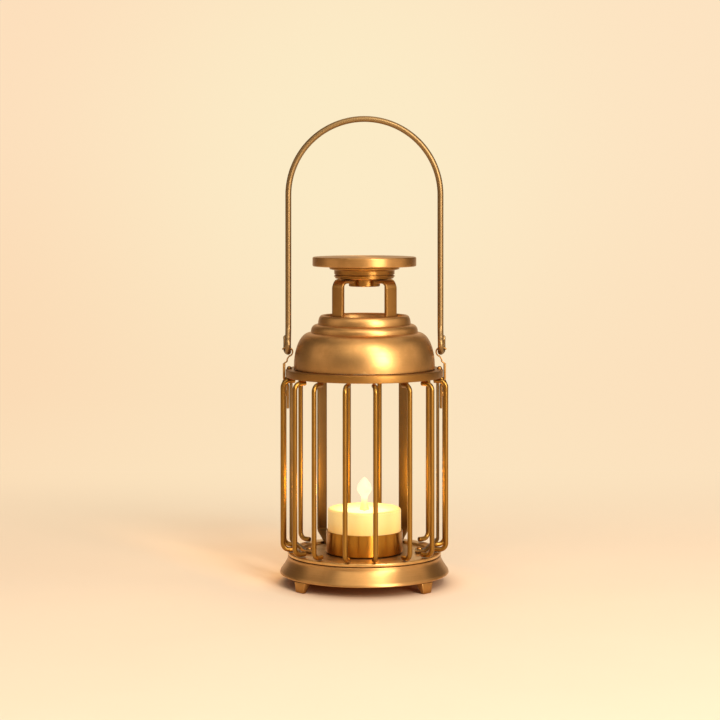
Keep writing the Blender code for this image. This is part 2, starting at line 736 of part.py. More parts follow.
clear_scene()
lantern = collection("candle_lantern")
cutters = collection("cutters")
brass = finish("antique_brass", (0.42, 0.20, 0.06), 0.32, 1.0)
dark_brass = finish("antique_brass_strap", (0.32, 0.15, 0.05), 0.4, 1.0)
wax_white = finish("candle_wax", (0.93, 0.84, 0.62), 0.5, 0.0)
char = finish("charred_wick", (0.03, 0.025, 0.02), 0.9, 0.0)

make_skirt()
for corner, angle in FOOT_ANGLES.items():
    make_foot(f"foot_{corner}", angle)
make_tray()
make_bars()
make_uprights()
make_ring()
make_ears()
make_bail(pivot("bail_axis", eye_centre))
lid = pivot("lid_lift", lid_rest)
make_dome(lid)
make_crown(lid)
make_cap(lid)
make_candle(pivot("candle_lift", candle_rest))
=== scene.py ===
"""The looks of a brass candle lantern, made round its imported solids.

Metres, +Z up, -Y is the front and the origin is on the floor under the lantern's axis.
Angles of bars and straps are in degrees from the front, positive to the right.
"""

from __future__ import annotations

import logging
import math
from dataclasses import dataclass, field
from enum import Enum
from typing import Iterable, Sequence

import bmesh
import bpy
from mathutils import Matrix, Vector

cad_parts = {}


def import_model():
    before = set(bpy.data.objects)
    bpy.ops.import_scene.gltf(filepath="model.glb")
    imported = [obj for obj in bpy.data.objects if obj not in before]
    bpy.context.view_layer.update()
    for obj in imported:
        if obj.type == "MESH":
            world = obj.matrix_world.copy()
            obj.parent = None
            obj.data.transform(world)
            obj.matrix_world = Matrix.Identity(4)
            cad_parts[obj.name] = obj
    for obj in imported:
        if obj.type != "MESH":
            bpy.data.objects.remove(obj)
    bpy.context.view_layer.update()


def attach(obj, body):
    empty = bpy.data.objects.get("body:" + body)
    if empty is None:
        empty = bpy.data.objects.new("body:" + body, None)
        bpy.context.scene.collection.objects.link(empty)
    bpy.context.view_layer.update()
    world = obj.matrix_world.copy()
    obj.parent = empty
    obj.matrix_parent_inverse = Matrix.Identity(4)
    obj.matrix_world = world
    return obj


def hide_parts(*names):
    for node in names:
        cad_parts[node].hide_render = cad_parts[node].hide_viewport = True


LOG = logging.getLogger("lantern")
MM = 0.001

Corner = tuple[float, ...]  # across, height and, where the corner is rounded, its radius
Point2 = tuple[float, float]
Point3 = tuple[float, float, float]
Socket = bpy.types.NodeSocket


class Body(Enum):
    """The moving bodies of the lantern."""

    CAGE = "cage"
    LID = "lid"
    BAIL = "bail"
    CANDLE = "candle"


class Slot(Enum):
    """The record's material slots."""

    BRASS = "brass"
    DARK_BRASS = "dark_brass"
    WAX = "wax"
    WICK = "wick"


class Grain(Enum):
    """The direction of the fine lines that working the metal leaves."""

    TURNED = "turned"
    DRAWN = "drawn"
    CAST = "cast"


# Where the sub-assemblies meet.
CLEARANCE = 0.3 * MM
SKIRT_TOP = 14.8 * MM
FLOOR_TOP = 15.6 * MM
TRAY_TOP = 16.9 * MM
RIM_RADIUS = 34.0 * MM
RING_BOTTOM = 107.4 * MM
RING_TOP = 111.3 * MM
RING_RADIUS = 41.0 * MM
UPRIGHT_RADIUS = 38.25 * MM
LID_REST = 111.6 * MM
EYE_CENTRE = 124.1 * MM
EYE_RADIUS = 3.9 * MM
EYE_DRIFT = 1.2 * MM
BAIL_SPAN = 39.7 * MM
BAIL_WIRE = 1.55 * MM
CANDLE_REST = 15.9 * MM
WAX_TOP = 38.8 * MM
LANTERN_MIDDLE = Vector((0, 0, 110 * MM))


def linear(code: str) -> tuple[float, float, float, float]:
    """The scene-linear colour of an sRGB hex code.

    Args:
        code: six hex digits, with or without a leading hash.

    Returns:
        Red, green, blue and an alpha of 1.
    """
    digits = code.lstrip("#")
    channels = [int(digits[i : i + 2], 16) / 255 for i in (0, 2, 4)]
    bent = [c / 12.92 if c <= 0.04045 else ((c + 0.055) / 1.055) ** 2.4 for c in channels]
    return (bent[0], bent[1], bent[2], 1.0)


@dataclass
class Tree:
    """A material's node tree, with short ways to add and join nodes."""

    material: bpy.types.Material
    shader: bpy.types.Node = field(init=False)

    def __post_init__(self) -> None:
        """Turns the nodes on and finds the shader."""
        self.material.use_nodes = True
        self.shader = self.material.node_tree.nodes["Principled BSDF"]

    def add(
        self, kind: str, values: dict[str | int, object] | None = None, **settings: object
    ) -> bpy.types.Node:
        """Adds a node.

        Args:
            kind: the node's type, without its "ShaderNode" prefix.
            values: what goes into its inputs, a value or another node's output.
            settings: the node's own properties.

        Returns:
            The new node.
        """
        node = self.material.node_tree.nodes.new("ShaderNode" + kind)
        for name, value in settings.items():
            setattr(node, name, value)
        for name, value in (values or {}).items():
            self.put(node.inputs[name], value)
        return node

    def put(self, socket: Socket, value: object) -> None:
        """Sets a socket, or links an output to it.

        Args:
            socket: the input.
            value: a value, or another node's output.
        """
        if isinstance(value, bpy.types.NodeSocket):
            self.material.node_tree.links.new(value, socket)
        else:
            socket.default_value = value

    def dress(self, values: dict[str, object]) -> bpy.types.Material:
        """Sets the shader's sockets.

        Args:
            values: by socket, a value or another node's output.

        Returns:
            The material.
        """
        for name, value in values.items():
            self.put(self.shader.inputs[name], value)
        return self.material

    def maths(self, operation: str, *values: object, clamp: bool = False) -> Socket:
        """The output of a Math node."""
        node = self.add("Math", dict(enumerate(values)), operation=operation, use_clamp=clamp)
        return node.outputs[0]

    def blend(self, factor: object, low: object, high: object) -> Socket:
        """The output of a colour mix."""
        values = {0: factor, 6: low, 7: high}
        return self.add("Mix", values, data_type="RGBA").outputs[2]

    def ramp(
        self, factor: object, low: float, high: float, start: float = 0.0, end: float = 1.0
    ) -> Socket:
        """A smooth map of a value's range to another range."""
        values = {0: factor, 1: low, 2: high, 3: start, 4: end}
        return self.add("MapRange", values, interpolation_type="SMOOTHSTEP").outputs[0]

    def noise(
        self, where: object, width: float, detail: float = 3.0, roughness: float = 0.55
    ) -> Socket:
        """The value of a noise texture whose grains have a width in metres."""
        values = {"Vector": where, "Scale": 1 / width, "Detail": detail, "Roughness": roughness}
        return self.add("TexNoise", values).outputs[0]

    def place(self) -> Socket:
        """The place in the lantern, in metres."""
        return self.add("TexCoord").outputs["Object"]

    def parts(self, vector: Socket) -> tuple[Socket, ...]:
        """The three coordinates of a vector."""
        return tuple(self.add("SeparateXYZ", {0: vector}).outputs)

    def length(self, x: Socket, y: Socket) -> Socket:
        """The length of a flat vector, such as a place's distance from the axis."""
        squares = self.maths("ADD", self.maths("MULTIPLY", x, x), self.maths("MULTIPLY", y, y))
        return self.maths("SQRT", squares)


@dataclass(frozen=True)
class Brass:
    """Satin antique brass, spun, turned, rolled, drawn or cast.

    The eye gets a broad, soft sheen with fine lines along the work, brown patina in clouds,
    grime and painted shade in corners and seams, and paler edges where hands have worn it.

    Attributes:
        grain: the direction of its fine lines.
        deep: the tone of the patina, the fine lines and the pits.
        body: the main tone.
        bright: the tone of worn places and edges.
        roughness: the roughness of the clean metal.
        patina: the share of the surface that is darker, from 0 to 1.
        lines: how much darker the fine lines are, from 0 to 1.
        pits: how dark its small pits are, from 0 to 1.
        wear: how bright its worn edges are, from 0 to 1.
        relief: the strength of its bump.
        grime_and_shade_reach: how far its grime and painted shade in corners reach, in millimetres.
        stretch: how far the fine turned lines stretch a highlight across them.
        line_width: the width of the fine lines. Real ones are under 0.1 mm, too fine to show.
        cloud_width: the width of the clouds of patina.
        pit_width: the width of the pits. Real ones are finer, and these are as small as shows.
    """

    grain: Grain
    deep: str = "#966A36"
    body: str = "#D1A063"
    bright: str = "#EFCA8E"
    roughness: float = 0.32
    patina: float = 0.3
    lines: float = 0.14
    pits: float = 0.14
    wear: float = 0.35
    relief: float = 0.05
    grime_and_shade_reach: float = 2.2
    stretch: float = 0.0
    line_width: float = 0.35 * MM
    cloud_width: float = 11 * MM
    pit_width: float = 1.1 * MM

    def grain_place(self, tree: Tree) -> Socket:
        """Coordinates that run slowly along the lines and fast across them.

        Args:
            tree: the material's tree.

        Returns:
            The coordinates.
        """
        where = tree.place()
        if self.grain is Grain.CAST:
            return where
        x, y, z = tree.parts(where)
        if self.grain is Grain.DRAWN:
            slow = tree.maths("MULTIPLY", z, 0.04)
            return tree.add("CombineXYZ", {0: x, 1: y, 2: slow}).outputs[0]
        slow = tree.maths("MULTIPLY", tree.maths("ARCTAN2", y, x), 0.0006)
        values = {0: tree.length(x, y), 1: slow, 2: z}
        return tree.add("CombineXYZ", values).outputs[0]

    def make(self, name: str) -> bpy.types.Material:
        """Builds the material.

        Args:
            name: its name.

        Returns:
            The material.
        """
        tree = Tree(bpy.data.materials.new(name))
        where = tree.place()
        lines = tree.noise(self.grain_place(tree), self.line_width, 4.0, 0.65)
        clouds = tree.noise(where, self.cloud_width, 4.0, 0.6)
        specks = tree.noise(where, self.pit_width, 3.0, 0.6)
        tarnish = tree.ramp(clouds, 0.38, 0.68, 0.0, self.patina)
        body = tree.blend(tarnish, linear(self.body), linear(self.deep))
        lined = tree.blend(tree.ramp(lines, 0.3, 0.7, 0.0, self.lines), body, linear(self.deep))
        dots = tree.ramp(specks, 0.62, 0.74, 0.0, self.pits)
        dotted = tree.blend(dots, lined, linear(self.deep))
        edge = tree.add("NewGeometry").outputs["Pointiness"]
        worn = tree.blend(tree.ramp(edge, 0.52, 0.62, 0.0, self.wear), dotted, linear(self.bright))
        spread = 0.4 * self.lines
        rough = tree.ramp(lines, 0.25, 0.75, self.roughness - spread, self.roughness + spread)
        dull = tree.maths("ADD", rough, tree.maths("MULTIPLY", tarnish, 0.16))
        pitted = tree.maths("ADD", dull, tree.maths("MULTIPLY", dots, 0.3), clamp=True)
        tree.dress({"Base Color": self.grime_and_painted_shade(tree, worn), "Roughness": pitted, "Metallic": 1.0})
        if self.stretch:
            tangent = tree.add("Tangent", direction_type="RADIAL", axis="Z").outputs[0]
            tree.dress({"Anisotropic": self.stretch, "Anisotropic Rotation": 0.25})
            tree.dress({"Tangent": tangent})
        if self.relief:
            height = tree.maths("ADD", lines, tree.maths("MULTIPLY", specks, 0.5))
            bump = {"Strength": self.relief, "Distance": 0.02 * MM, "Height": height}
            tree.dress({"Normal": tree.add("Bump", bump).outputs[0]})
        return tree.material

    def grime_and_painted_shade(self, tree: Tree, colour: Socket) -> Socket:
        """The colour, darkened by grime and painted shade in corners and seams unless its reach is
        0.

        Args:
            tree: the material's tree.
            colour: the colour of the open surface.

        Returns:
            The colour.
        """
        if not self.grime_and_shade_reach:
            return colour
        reach = {"Distance": self.grime_and_shade_reach * MM}
        # Grime and painted shade: where ambient occlusion finds little open sky, the colour darkens
        # to dark brown.
        open_sky = tree.add("AmbientOcclusion", reach, samples=12).outputs["AO"]
        grime_and_shade = tree.ramp(open_sky, 0.25, 0.85, 0.55, 0.0)
        return tree.blend(grime_and_shade, colour, linear("#4A2A10"))


@dataclass(frozen=True)
class Wax:
    """Cream wax, with a painted glow for the flame's light inside it."""

    name: str = "candle_wax_lit"
    glow_foot: float = 24 * MM
    flame_reach: Point2 = (9 * MM, 19 * MM)
    cloud_width: float = 7 * MM
    grain_width: float = 0.8 * MM

    def make(self) -> bpy.types.Material:
        """Builds the material.

        Returns:
            The material.
        """
        tree = Tree(bpy.data.materials.new(self.name))
        where = tree.place()
        x, y, z = tree.parts(where)
        # Painted glow: the wax emits light, orange low down, cream at the top and white round the
        # wick.
        rise = tree.ramp(z, self.glow_foot, WAX_TOP)
        veil = tree.ramp(tree.noise(where, self.cloud_width), 0.35, 0.7, 0.0, 0.25)
        glow = tree.blend(rise, linear("#B2681C"), linear("#CBBF85"))
        soft = tree.blend(veil, glow, linear("#CBAB5E"))
        near = tree.ramp(tree.length(x, y), *self.flame_reach, 1.0, 0.0)
        lit = tree.blend(tree.maths("MULTIPLY", rise, near), soft, linear("#FFFFFF"))
        grains = tree.noise(where, self.grain_width)
        bump = {"Strength": 0.15, "Distance": 0.05 * MM, "Height": grains}
        return tree.dress(
            {
                "Base Color": tree.blend(veil, linear("#E6C47A"), linear("#DCB566")),
                "Emission Color": lit,
                "Emission Strength": 0.50,
                "Roughness": 0.42,
                "Subsurface Weight": 0.5,
                "Subsurface Radius": (1.0, 0.6, 0.3),
                "Subsurface Scale": 3 * MM,
                "Normal": tree.add("Bump", bump).outputs[0],
            }
        )


@dataclass(frozen=True)
class Wick:
    """Charred cotton, with a glowing tip."""

    name: str = "charred_cotton"
    fibre_width: float = 0.25 * MM
    ember: Point2 = (41.6 * MM, 42.6 * MM)

    def make(self) -> bpy.types.Material:
        """Builds the material.

        Returns:
            The material.
        """
        tree = Tree(bpy.data.materials.new(self.name))
        where = tree.place()
        fibre = tree.ramp(tree.noise(where, self.fibre_width, 4.0), 0.35, 0.7)
        ember = tree.ramp(tree.parts(where)[2], *self.ember)
        return tree.dress(
            {
                "Base Color": tree.blend(fibre, linear("#1A120C"), linear("#4A3524")),
                "Emission Color": tree.blend(ember, linear("#000000"), linear("#FF7A1E")),
                "Emission Strength": 1.5,
                "Roughness": 0.9,
            }
        )


@dataclass(frozen=True)
class Flame:
    """The candle's flame: pale at its heart and amber at its foot."""

    name: str = "flame"
    strength: float = 1.0
    heart: Point2 = (40.5 * MM, 45 * MM)
    sway_width: float = 4 * MM

    def make(self) -> bpy.types.Material:
        """Builds the material.

        Returns:
            The material.
        """
        tree = Tree(bpy.data.materials.new(self.name))
        where = tree.place()
        rise = tree.ramp(tree.parts(where)[2], *self.heart)
        sway = tree.ramp(tree.noise(where, self.sway_width, 2.0), 0.4, 0.7, 0.0, 0.2)
        warm = tree.blend(rise, linear("#FFE88C"), linear("#FFF4CC"))
        tone = tree.blend(sway, warm, linear("#FFE08A"))
        return tree.dress(
            {
                "Base Color": tree.blend(0.85, tone, linear("#000000")),
                "Emission Color": tone,
                "Emission Strength": self.strength,
            }
        )


@dataclass(frozen=True)
class Paper:
    """The studio's seamless pale paper, with painted light and shade; its far wall keeps a set tone
    in the picture.

    Each pair of distances is where a change starts and ends, in metres.

    Attributes:
        name: the material's name.
        fibre_width: the width of its faint clouds.
        shadow_under_base: the painted shadow under the base, by distance from the axis.
        shadow_way: the way that the key light's shadow falls.
        shadow_start, shadow_end, shadow_width: where the painted warm light in the shadow lies.
        shadow_light: the strength of that painted light.
        ring_width: the painted warm light round the base, by distance from the axis.
        ring_light: the strength of that painted light.
        base_edge: where both painted lights start, clear of the base.
        behind: where the floor becomes the backdrop, by distance behind the axis.
        around: where it does to the sides and in front.
        pool: how far to the side the metal mirrors the backdrop, squared.
    """

    name: str = "studio_paper"
    fibre_width: float = 1 / 6
    shadow_under_base: Point2 = (0.028, 0.057)
    shadow_way: Point2 = (-0.527, 0.85)
    shadow_start: Point2 = (0.0, 0.04)
    shadow_end: Point2 = (0.03, 0.32)
    shadow_width: Point2 = (0.028, 0.07)
    shadow_light: float = 0.26
    ring_width: Point2 = (0.048, 0.08)
    ring_light: float = 0.10
    base_edge: Point2 = (0.041, 0.048)
    behind: Point2 = (0.0, 0.42)
    around: Point2 = (0.6, 1.4)
    pool: Point2 = (0.2, 1.5)

    def make(self) -> bpy.types.Material:
        """Builds the material.

        Returns:
            The material.
        """
        tree = Tree(bpy.data.materials.new(self.name))
        where = tree.place()
        x, y, z = tree.parts(where)
        from_axis = tree.length(x, y)
        fibres = tree.ramp(tree.noise(where, self.fibre_width, 4.0), 0.3, 0.7, 0.0, 0.3)
        tone = tree.blend(fibres, linear("#F3E2CC"), linear("#F1DCC4"))
        # Painted shadow: the paper darkens to a warm brown under and round the base.
        under = tree.ramp(from_axis, *self.shadow_under_base, 0.85, 0.0)
        tree.dress(
            {
                "Base Color": tree.blend(under, tone, linear("#B97A45")),
                # Painted light: the paper glows orange in the key light's shadow and round the
                # base.
                "Emission Color": linear("#FFA840"),
                "Emission Strength": self.painted_floor_light(tree, x, y, from_axis),
                "Roughness": 0.85,
                "Specular IOR Level": 0.1,
            }
        )
        share, shown = self.backdrop(tree, x, y, z, from_axis)
        mixed = tree.add("MixShader", {0: share, 1: tree.shader.outputs[0], 2: shown}).outputs[0]
        tree.put(tree.material.node_tree.nodes["Material Output"].inputs["Surface"], mixed)
        tree.material.cycles.emission_sampling = "NONE"
        return tree.material

    def painted_floor_light(self, tree: Tree, x: Socket, y: Socket, from_axis: Socket) -> Socket:
        """The painted warm light that fills the key light's shadow and lies round the base.

        Args:
            tree: the material's tree.
            x, y: the place on the floor.
            from_axis: its distance from the lantern's axis.

        Returns:
            The strength of the light.
        """
        way_x, way_y = self.shadow_way
        along = tree.maths(
            "ADD", tree.maths("MULTIPLY", x, way_x), tree.maths("MULTIPLY", y, way_y)
        )
        off = tree.maths(
            "ADD", tree.maths("MULTIPLY", x, way_y), tree.maths("MULTIPLY", y, -way_x)
        )
        width = tree.ramp(tree.maths("ABSOLUTE", off), *self.shadow_width, 1.0, 0.0)
        fade = tree.ramp(along, *self.shadow_end, self.shadow_light, 0.0)
        start = tree.maths("MULTIPLY", tree.ramp(along, *self.shadow_start), fade)
        shadow = tree.maths("MULTIPLY", start, width)
        around = tree.ramp(from_axis, *self.ring_width, self.ring_light, 0.0)
        ring = tree.maths("MULTIPLY", around, tree.ramp(y, -0.045, 0.0))
        glow = tree.maths("ADD", shadow, ring)
        return tree.maths("MULTIPLY", glow, tree.ramp(from_axis, *self.base_edge))

    def backdrop(
        self, tree: Tree, x: Socket, y: Socket, z: Socket, from_axis: Socket
    ) -> tuple[Socket, Socket]:
        """The backdrop, painted lighter behind the lantern and to the right, which the metal
        mirrors as a pool of light that fades to the sides.

        Args:
            tree: the material's tree.
            x, y, z: the place on the paper.
            from_axis: its distance from the lantern's axis.

        Returns:
            How much of the paper shows as the backdrop, and the backdrop's own light.
        """
        side = tree.maths("MULTIPLY", x, x)
        rise = tree.maths("SUBTRACT", z, 0.28)
        apart = tree.length(x, rise)
        # Painted light: a lighter halo behind the lantern's top and a lighter right side; the wall
        # is also darker towards the floor.
        wall = tree.blend(tree.ramp(z, 0.0, 0.35), linear("#FBDAB4"), linear("#FDDFBC"))
        centre = tree.blend(tree.ramp(apart, 0.05, 0.55, 1.0, 0.0), wall, linear("#FCEBC6"))
        lit = tree.blend(tree.ramp(x, -0.1, 0.5, 0.0, 0.5), centre, linear("#FDE7C6"))
        behind = tree.ramp(y, *self.behind)
        far = tree.maths("MAXIMUM", behind, tree.ramp(from_axis, *self.around))
        rays = tree.add("LightPath").outputs
        mirrored = tree.maths("ADD", rays["Is Glossy Ray"], rays["Is Transmission Ray"], clamp=True)
        seen = tree.maths("MULTIPLY", rays["Is Camera Ray"], far)
        share = tree.maths("ADD", seen, tree.maths("MULTIPLY", mirrored, behind), clamp=True)
        pool = tree.ramp(side, *self.pool, 0.75, 0.12)
        level = tree.maths("MAXIMUM", rays["Is Camera Ray"], pool)
        return share, tree.add("Emission", {0: lit, 1: level}).outputs[0]


def arc(
    centre: Point2, radius: float, start: float, end: float, steps: int, height: float = 0.0
) -> list[Point2]:
    """Points along an arc of a circle or an ellipse.

    Args:
        centre: its centre.
        radius: its radius across.
        start, end: its first and last angle, in degrees.
        steps: how many pieces it has.
        height: its radius upwards, where that differs.

    Returns:
        The points, both ends with them.
    """
    tall = height or radius
    found = []
    for i in range(steps + 1):
        angle = math.radians(start + (end - start) * i / steps)
        found.append((centre[0] + radius * math.cos(angle), centre[1] + tall * math.sin(angle)))
    return found


def soften(corners: Sequence[Corner], steps: int = 5, closed: bool = False) -> list[Point2]:
    """Rounds the corners of an outline.

    Args:
        corners: (across, height) or (across, height, radius) of each corner.
        steps: how many pieces a rounded corner has.
        closed: whether the outline runs round.

    Returns:
        The points of the rounded outline.
    """
    made: list[Point2] = []
    count = len(corners)
    for i, corner in enumerate(corners):
        here = Vector(corner[:2])
        radius = corner[2] if len(corner) > 2 else 0.0
        if not radius or (not closed and i in (0, count - 1)):
            made.append(tuple(here))
            continue
        back = Vector(corners[i - 1][:2]) - here
        on = Vector(corners[(i + 1) % count][:2]) - here
        half = back.angle(on) / 2
        reach = min(radius / math.tan(half), back.length * 0.49, on.length * 0.49)
        first = here + back.normalized() * reach
        last = here + on.normalized() * reach
        middle = here + (back.normalized() + on.normalized()).normalized() * reach / math.cos(half)
        bulge = reach * math.tan(half)
        for k in range(steps + 1):
            share = k / steps
            way = (first - middle).lerp(last - middle, share)
            made.append(tuple(middle + way.normalized() * bulge))
    return made


def to_object(name: str, shape: bmesh.types.BMesh, angle: float = 38.0) -> bpy.types.Object:
    """Makes an object at the origin.

    Args:
        name: its name.
        shape: its mesh, in world metres, which is used up.
        angle: the angle above which its edges are sharp, in degrees.

    Returns:
        The object, in the scene.
    """
    bmesh.ops.recalc_face_normals(shape, faces=shape.faces)
    closed = all(edge.is_manifold for edge in shape.edges)
    if closed and shape.calc_volume(signed=True) < 0:  # a bevel's fold can turn a shape inside out
        bmesh.ops.reverse_faces(shape, faces=shape.faces)
    mesh = bpy.data.meshes.new(name)
    shape.to_mesh(mesh)
    shape.free()
    mesh.shade_smooth()
    mesh.set_sharp_from_angle(angle=math.radians(angle))
    made = bpy.data.objects.new(name, mesh)
    bpy.context.scene.collection.objects.link(made)
    return made


def turn(outline: Iterable[Point2], steps: int = 144) -> bmesh.types.BMesh:
    """Turns an outline about the vertical axis.

    Args:
        outline: (radius, height) of each point, closed unless both ends are on the axis.
        steps: how many sides the shape has.

    Returns:
        The mesh.
    """
    shape = bmesh.new()
    points = list(outline)
    verts = [shape.verts.new((radius, 0, height)) for radius, height in points]
    edges = [shape.edges.new(pair) for pair in zip(verts, verts[1:])]
    if points[0][0] > 1e-9 or points[-1][0] > 1e-9:
        edges.append(shape.edges.new((verts[-1], verts[0])))
    bmesh.ops.spin(
        shape,
        geom=verts + edges,
        cent=(0, 0, 0),
        axis=(0, 0, 1),
        dvec=(0, 0, 0),
        angle=math.tau,
        steps=steps,
        use_merge=True,
    )
    bmesh.ops.remove_doubles(shape, verts=shape.verts, dist=1e-7)
    return shape


def heading(azimuth: float) -> Matrix:
    """Turns a piece drawn in the plane of +X to its angle from the front."""
    return Matrix.Rotation(math.radians(azimuth - 90), 4, "Z")


def frames(path: Sequence[Vector], side: Vector | None = None) -> list[Matrix]:
    """The place of a section at each point of a path.

    Args:
        path: the points of the section's centre.
        side: the sideways direction, where it is the same all along; otherwise it is carried along.

    Returns:
        One matrix for each point, from the section's own plane of X and Y.
    """
    found = []
    across = side
    for i, point in enumerate(path):
        before = (point - path[i - 1]).normalized() if i else None
        after = (path[i + 1] - point).normalized() if i < len(path) - 1 else None
        before = before or after
        after = after or before
        along = (before + after).normalized()
        if across is None:
            across = Vector((0, 0, 1)).cross(along)
            if across.length < 0.1:
                across = Vector((1, 0, 0))
        across = (across - along * across.dot(along)).normalized()
        stretch = 1 / max(along.dot(after), 0.5) if side is not None else 1.0
        axes = Matrix((across, along.cross(across) * stretch, along)).transposed()
        found.append(Matrix.Translation(point) @ axes.to_4x4())
    return found


def loft(section: bmesh.types.BMesh, places: Sequence[Matrix]) -> bmesh.types.BMesh:
    """Extrudes a flat section from place to place, with closed ends.

    Args:
        section: a mesh of one face round its own origin, in the plane of X and Y.
        places: where the section stands, from the first end to the last.

    Returns:
        The same mesh, grown to its whole length.
    """
    face = next(iter(section.faces))
    bmesh.ops.transform(section, matrix=places[0], verts=section.verts[:])
    for before, after in zip(places, places[1:]):
        region = [face, *face.edges, *face.verts]
        grown = bmesh.ops.extrude_face_region(section, geom=region)["geom"]
        face = next(item for item in grown if isinstance(item, bmesh.types.BMFace))
        bmesh.ops.transform(section, matrix=after @ before.inverted(), verts=face.verts[:])
    return section


def rectangle(width: float, depth: float) -> bmesh.types.BMesh:
    """A flat section of one face, in the plane of X and Y.

    Args:
        width: its size along X.
        depth: its size along Y.

    Returns:
        The mesh.
    """
    section = bmesh.new()
    bmesh.ops.create_grid(section, x_segments=1, y_segments=1, size=0.5)
    bmesh.ops.scale(section, vec=(width, depth, 1), verts=section.verts[:])
    return section


def wire(points: Sequence[Vector], radius: float, sides: int = 24) -> bmesh.types.BMesh:
    """Round wire with softened ends.

    Args:
        points: the points of its middle.
        radius: its radius.
        sides: how many sides it has.

    Returns:
        The mesh.
    """
    section = bmesh.new()
    bmesh.ops.create_circle(section, cap_ends=True, radius=radius, segments=sides)
    shape = loft(section, frames(points))
    ends = [face for face in shape.faces if len(face.verts) == sides]
    bmesh.ops.bevel(
        shape,
        geom=[edge for face in ends for edge in face.edges],
        offset=radius * 0.2,
        offset_type="OFFSET",
        affect="EDGES",
        segments=3,
        profile=0.5,
        material=-1,
        clamp_overlap=True,
    )
    return shape


def strap(
    path: Sequence[Point2], thickness: float, width: float, azimuth: float, edge: float = 0.3 * MM
) -> bmesh.types.BMesh:
    """A flat strap with softened edges, bent along a path of radii and heights.

    Args:
        path: (radius, height) of each point of its middle.
        thickness: its thickness.
        width: its width.
        azimuth: its angle from the front, in degrees.
        edge: the radius of its long edges.

    Returns:
        The mesh.
    """
    section = rectangle(width, thickness)
    bmesh.ops.bevel(
        section,
        geom=section.verts[:],
        offset=edge,
        affect="VERTICES",
        segments=4,
        profile=0.5,
        material=-1,
    )
    points = [Vector((radius, 0, height)) for radius, height in path]
    shape = loft(section, frames(points, Vector((0, 1, 0))))
    shape.transform(heading(azimuth))
    return shape


def rivet(size: Point2) -> bmesh.types.BMesh:
    """A round rivet head that stands on height 0.

    Args:
        size: its radius and its height.

    Returns:
        The mesh.
    """
    radius, rise = size
    sunk = -0.4 * MM
    dome = arc((0, rise * 0.15), radius, 90, 0, 8, rise * 0.85)
    dome[0] = (0.0, dome[0][1])
    return turn(dome + [(radius, 0.0), (radius * 0.5, sunk), (0.0, sunk)], 40)


@dataclass
class Workshop:
    """Makes pieces with their finish, body and the solids that they stand for."""

    finishes: dict[str, bpy.types.Material]
    made: int = 0

    def piece(
        self,
        name: str,
        shape: bmesh.types.BMesh,
        finish: str,
        slot: Slot,
        body: Body,
        nodes: Sequence[str] = (),
        angle: float = 38.0,
    ) -> bpy.types.Object:
        """Turns a mesh into a piece of the lantern.

        Args:
            name: the piece's name.
            shape: its mesh, in world metres.
            finish: the key of its material.
            slot: the record's slot of its finish; not used.
            body: the body that it rides on.
            nodes: the solids that it stands for.
            angle: the angle above which its edges are sharp, in degrees.

        Returns:
            The piece.
        """
        obj = to_object(name, shape, angle)
        obj.data.materials.append(self.finishes[finish])
        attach(obj, body.value)
        if nodes:
            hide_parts(*nodes)
        self.made += 1
        LOG.info("%s rides on %s", name, body.value)
        return obj


